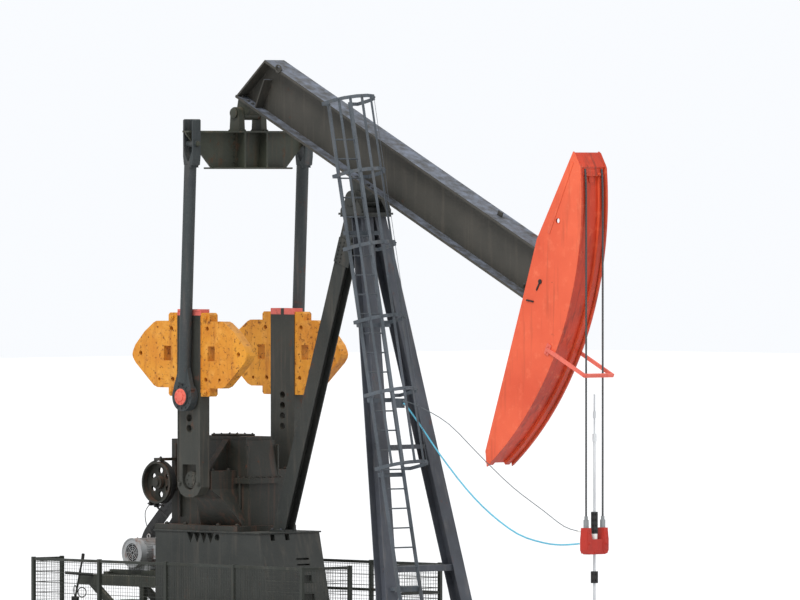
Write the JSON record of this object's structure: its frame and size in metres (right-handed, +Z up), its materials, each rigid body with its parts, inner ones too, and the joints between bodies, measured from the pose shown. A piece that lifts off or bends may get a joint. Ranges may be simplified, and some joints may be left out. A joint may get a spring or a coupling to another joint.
{
  "type": "pumpjack",
  "caption": "Oil well pumping unit: walking beam with orange horsehead, cranks with yellow counterweights, post, gearbox, motor and carrier bar on a concrete block",
  "frame": {"origin": "on the ground, at the underside of the concrete block, straight below the crankshaft's axis", "axes": "+X toward the well, along the beam; +Z up; -Y is the side with the ladder and the brake drum"},
  "size_m": [10.6563, 2.75, 8.7354],
  "materials": {
    "concrete": "rough",
    "dark_steel": "satin",
    "cast_case": "rough",
    "yellow_iron": "rough",
    "orange_steel": "satin",
    "ladder_steel": "satin",
    "motor_grey": "satin",
    "black_guard": "satin",
    "wire_rope": "rough",
    "red_steel": "satin",
    "rod_steel": "polished",
    "clamp_black": "rough",
    "white_cell": "satin",
    "cyan_cable": "satin",
    "grey_cable": "satin"
  },
  "bodies": {
    "frame": {"foundation": "concrete", "skid": "dark_steel", "pedestal": "dark_steel", "reducer_case": "cast_case", "reducer_upper_case": "cast_case", "rear_leg": "dark_steel", "front_legs": "dark_steel", "leg_struts": "dark_steel", "post_head": "dark_steel", "saddle_blocks": "dark_steel", "ladder": "ladder_steel", "cage_hoops": "ladder_steel", "cage_straps": "ladder_steel", "ladder_brackets": "dark_steel", "motor_platform": "dark_steel", "motor": "motor_grey", "belt_guard": "black_guard", "drive_belts": "black_guard", "brake_lever": "dark_steel", "fence_near": "ladder_steel", "fence_far": "ladder_steel", "fence_ends": "ladder_steel", "load_cable": "cyan_cable", "signal_cable": "grey_cable"},
    "crank": {"crankshaft": "cast_case", "cranks": "cast_case", "counterweights": "yellow_iron"},
    "beam": {"walking_beam": "dark_steel", "saddle_casting": "dark_steel", "tail_casting": "dark_steel", "horsehead_sides": "orange_steel", "horsehead_face": "orange_steel", "wireline_guard": "orange_steel", "upper_wires": "wire_rope"},
    "pitman_set": {"equalizer": "dark_steel", "pitmans": "dark_steel", "wrist_pins": "dark_steel"},
    "carrier": {"carrier_bar": "red_steel", "wire_sockets": "wire_rope", "polished_rod": "rod_steel", "rod_clamps": "clamp_black", "load_cell": "white_cell", "hanging_wires": "wire_rope"},
    "input_shaft": {"brake_drum": "cast_case", "belt_sheave": "cast_case"}
  },
  "joints": [
    {"name": "crank_turn", "type": "hinge", "parent": "frame", "child": "crank", "pos_m": [0, 0, 2.707], "axis": [0, 1, 0], "range_deg": [0, 180]},
    {"name": "beam_rock", "type": "hinge", "parent": "frame", "child": "beam", "pos_m": [2.64, 0, 6.737], "axis": [0, -1, 0], "range_deg": [0, 51.24]},
    {"name": "pitman_swing", "type": "hinge", "parent": "beam", "child": "pitman_set", "pos_m": [0.17255, 0, 7.97465], "axis": [0, -1, 0], "range_deg": [-50.64, 0]},
    {"name": "carrier_lift", "type": "slide", "parent": "frame", "child": "carrier", "axis": [0, 0, 1], "range_m": [0, 4.1498], "deforming": ["hanging_wires"]},
    {"name": "input_turn", "type": "hinge", "parent": "frame", "child": "input_shaft", "pos_m": [-1.13, 0, 2.637], "axis": [0, 1, 0], "continuous": true}
  ],
  "couplings": [
    {"joint": "beam_rock", "follows": "crank_turn", "ratio": 0.28461},
    {"joint": "pitman_swing", "follows": "crank_turn", "ratio": -0.28128},
    {"joint": "carrier_lift", "follows": "crank_turn", "m_per_rad": 1.3206},
    {"joint": "input_turn", "follows": "crank_turn", "ratio": 28.45}
  ]
}
